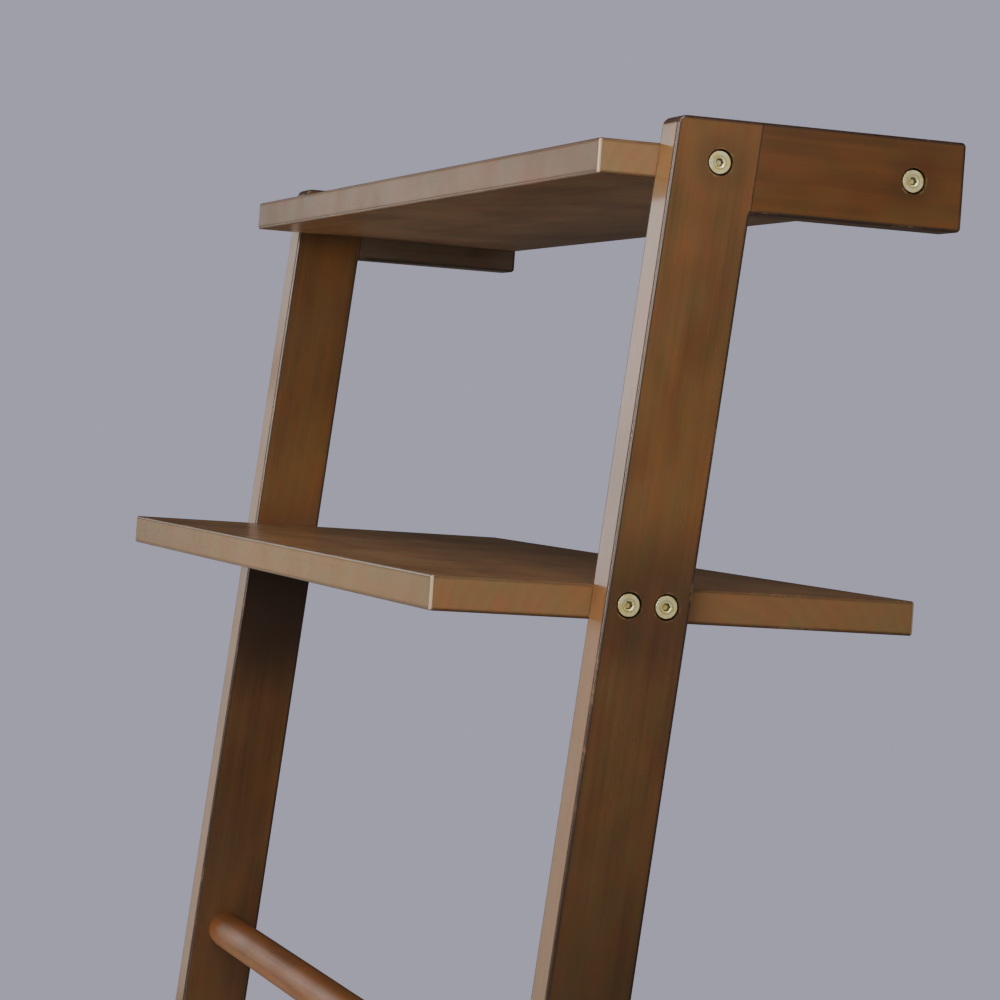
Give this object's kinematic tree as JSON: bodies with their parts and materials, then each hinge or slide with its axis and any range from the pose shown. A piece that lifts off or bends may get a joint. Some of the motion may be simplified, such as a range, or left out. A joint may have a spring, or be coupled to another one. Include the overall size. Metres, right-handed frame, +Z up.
{
  "type": "ladder shelf",
  "caption": "Wall-leaning wooden ladder shelf: sloping stiles with short level arms at the top carry bolted shelf boards above a run of round rungs",
  "frame": {"origin": "on the floor, at the middle of the object's outline seen from above", "axes": "+Z up, +Y towards the wall that it leans on, +X to the right seen from the front"},
  "size_m": [0.76, 0.3024, 1.7],
  "materials": {
    "stained_wood": "dark walnut stain under satin varnish",
    "dowel_beech": "bare beech",
    "plated_bolt": "steel with yellow zinc plating",
    "insert_metal": "die-cast zinc, as cast",
    "foot_rubber": "matt black rubber"
  },
  "bodies": {
    "root": {"left_arm": "stained_wood", "left_foot_pad": "foot_rubber", "left_lower_dowel": "dowel_beech", "left_lower_shelf_back_bolt": "plated_bolt", "left_lower_shelf_back_insert": "insert_metal", "left_lower_shelf_front_bolt": "plated_bolt", "left_lower_shelf_front_insert": "insert_metal", "left_rung_1_bolt": "plated_bolt", "left_rung_1_insert": "insert_metal", "left_rung_2_bolt": "plated_bolt", "left_rung_2_insert": "insert_metal", "left_rung_3_bolt": "plated_bolt", "left_rung_3_insert": "insert_metal", "left_rung_4_bolt": "plated_bolt", "left_rung_4_insert": "insert_metal", "left_stile": "stained_wood", "left_top_shelf_back_bolt": "plated_bolt", "left_top_shelf_back_insert": "insert_metal", "left_top_shelf_front_bolt": "plated_bolt", "left_top_shelf_front_insert": "insert_metal", "left_upper_dowel": "dowel_beech", "lower_shelf": "stained_wood", "right_arm": "stained_wood", "right_foot_pad": "foot_rubber", "right_lower_dowel": "dowel_beech", "right_lower_shelf_back_bolt": "plated_bolt", "right_lower_shelf_back_insert": "insert_metal", "right_lower_shelf_front_bolt": "plated_bolt", "right_lower_shelf_front_insert": "insert_metal", "right_rung_1_bolt": "plated_bolt", "right_rung_1_insert": "insert_metal", "right_rung_2_bolt": "plated_bolt", "right_rung_2_insert": "insert_metal", "right_rung_3_bolt": "plated_bolt", "right_rung_3_insert": "insert_metal", "right_rung_4_bolt": "plated_bolt", "right_rung_4_insert": "insert_metal", "right_stile": "stained_wood", "right_top_shelf_back_bolt": "plated_bolt", "right_top_shelf_back_insert": "insert_metal", "right_top_shelf_front_bolt": "plated_bolt", "right_top_shelf_front_insert": "insert_metal", "right_upper_dowel": "dowel_beech", "rung_1": "stained_wood", "rung_2": "stained_wood", "rung_3": "stained_wood", "rung_4": "stained_wood", "top_shelf": "stained_wood"}
  },
  "joints": []
}
